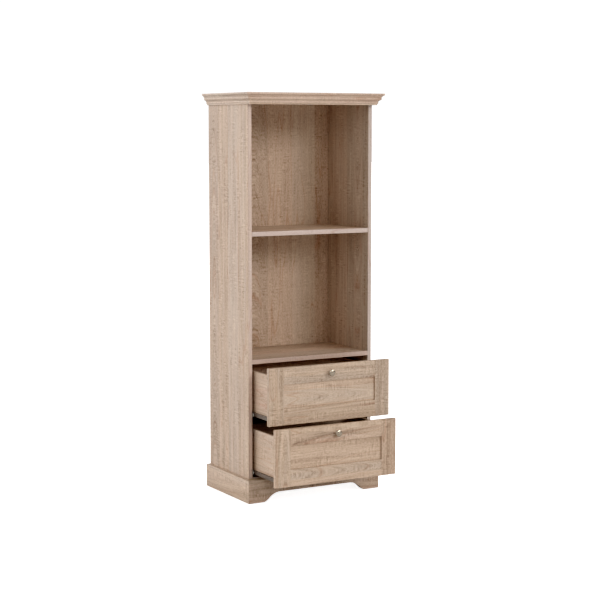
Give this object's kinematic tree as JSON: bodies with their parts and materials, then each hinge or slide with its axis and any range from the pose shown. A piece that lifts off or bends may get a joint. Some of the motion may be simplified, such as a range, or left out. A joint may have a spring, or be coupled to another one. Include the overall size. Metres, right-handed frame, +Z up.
{
  "type": "bookcase with bottom drawers",
  "caption": "Tall narrow bookcase with open shelf bays above drawers on roller runners, with an arched plinth and a moulded cornice.",
  "frame": {"origin": "on the floor, midway between the side panels and midway between their front and rear edges", "axes": "+X to the right seen from the front, -Y to the front, +Z up"},
  "size_m": [0.696, 0.6375, 1.8],
  "materials": {
    "sonoma_laminate": "satin melamine with printed grain",
    "back_laminate": "printed thin board",
    "drawer_lining": "satin melamine with printed grain",
    "drawer_base": "printed thin board",
    "raw_rail": "plain particle board",
    "beech_dowel": "plain",
    "cam_zinc": "die-cast zinc",
    "zinc_steel": "zinc plated",
    "runner_steel": "grey-brown epoxy coat",
    "roller_nylon": "natural nylon",
    "knob_nickel": "satin nickel plate",
    "glide_plastic": "moulded"
  },
  "bodies": {
    "carcass": {"side_panel_left": "sonoma_laminate", "side_panel_right": "sonoma_laminate", "top_panel": "sonoma_laminate", "middle_panel": "sonoma_laminate", "bottom_panel": "sonoma_laminate", "shelf": "sonoma_laminate", "back_panel": "back_laminate", "plinth_front": "sonoma_laminate", "plinth_side_left": "sonoma_laminate", "plinth_side_right": "sonoma_laminate", "plinth_rail": "raw_rail", "plinth_blocks": "raw_rail", "cornice_front": "sonoma_laminate", "cornice_side_left": "sonoma_laminate", "cornice_side_right": "sonoma_laminate", "cornice_rail": "sonoma_laminate", "shelf_pins": "zinc_steel", "cam_locks": "cam_zinc", "cam_bolts": "zinc_steel", "carcass_dowels": "beech_dowel", "carcass_screws": "zinc_steel", "floor_glides": "glide_plastic", "wall_brackets": "zinc_steel", "cabinet_runners_left": "runner_steel", "cabinet_runners_right": "runner_steel", "front_roller_axles": "zinc_steel"},
    "upper_drawer": {"upper_drawer_stile_left": "sonoma_laminate", "upper_drawer_stile_right": "sonoma_laminate", "upper_drawer_rail_top": "sonoma_laminate", "upper_drawer_rail_bottom": "sonoma_laminate", "upper_drawer_front_panel": "sonoma_laminate", "upper_drawer_side_left": "drawer_lining", "upper_drawer_side_right": "drawer_lining", "upper_drawer_back": "drawer_lining", "upper_drawer_bottom": "drawer_base", "upper_drawer_knob": "knob_nickel", "upper_drawer_knob_screw": "zinc_steel", "upper_drawer_runners": "runner_steel", "upper_drawer_roller_axles": "zinc_steel", "upper_drawer_dowels": "beech_dowel", "upper_drawer_screws": "zinc_steel"},
    "upper_front_rollers": {"upper_drawer_front_rollers": "roller_nylon"},
    "upper_rear_rollers": {"upper_drawer_rear_rollers": "roller_nylon"},
    "lower_drawer": {"lower_drawer_stile_left": "sonoma_laminate", "lower_drawer_stile_right": "sonoma_laminate", "lower_drawer_rail_top": "sonoma_laminate", "lower_drawer_rail_bottom": "sonoma_laminate", "lower_drawer_front_panel": "sonoma_laminate", "lower_drawer_side_left": "drawer_lining", "lower_drawer_side_right": "drawer_lining", "lower_drawer_back": "drawer_lining", "lower_drawer_bottom": "drawer_base", "lower_drawer_knob": "knob_nickel", "lower_drawer_knob_screw": "zinc_steel", "lower_drawer_runners": "runner_steel", "lower_drawer_roller_axles": "zinc_steel", "lower_drawer_dowels": "beech_dowel", "lower_drawer_screws": "zinc_steel"},
    "lower_front_rollers": {"lower_drawer_front_rollers": "roller_nylon"},
    "lower_rear_rollers": {"lower_drawer_rear_rollers": "roller_nylon"}
  },
  "joints": [
    {"name": "upper_drawer_slide", "type": "slide", "parent": "carcass", "child": "upper_drawer", "axis": [0, -1, 0], "range_m": [-0.151, 0.099]},
    {"name": "upper_front_rollers_spin", "type": "hinge", "parent": "carcass", "child": "upper_front_rollers", "pos_m": [0, -0.1795, 0.389], "axis": [1, 0, 0], "range_deg": [-900, 620]},
    {"name": "upper_rear_rollers_spin", "type": "hinge", "parent": "upper_drawer", "child": "upper_rear_rollers", "pos_m": [0, -0.0055, 0.387], "axis": [1, 0, 0], "range_deg": [-900, 620]},
    {"name": "lower_drawer_slide", "type": "slide", "parent": "carcass", "child": "lower_drawer", "axis": [0, -1, 0], "range_m": [-0.2095, 0.0405]},
    {"name": "lower_front_rollers_spin", "type": "hinge", "parent": "carcass", "child": "lower_front_rollers", "pos_m": [0, -0.1795, 0.1305], "axis": [1, 0, 0], "range_deg": [-1230, 260]},
    {"name": "lower_rear_rollers_spin", "type": "hinge", "parent": "lower_drawer", "child": "lower_rear_rollers", "pos_m": [0, -0.064, 0.1285], "axis": [1, 0, 0], "range_deg": [-1230, 260]}
  ],
  "couplings": [
    {"joint": "upper_front_rollers_spin", "follows": "upper_drawer_slide", "rad_per_m": 100},
    {"joint": "upper_rear_rollers_spin", "follows": "upper_drawer_slide", "rad_per_m": 100},
    {"joint": "lower_front_rollers_spin", "follows": "lower_drawer_slide", "rad_per_m": 100},
    {"joint": "lower_rear_rollers_spin", "follows": "lower_drawer_slide", "rad_per_m": 100}
  ]
}
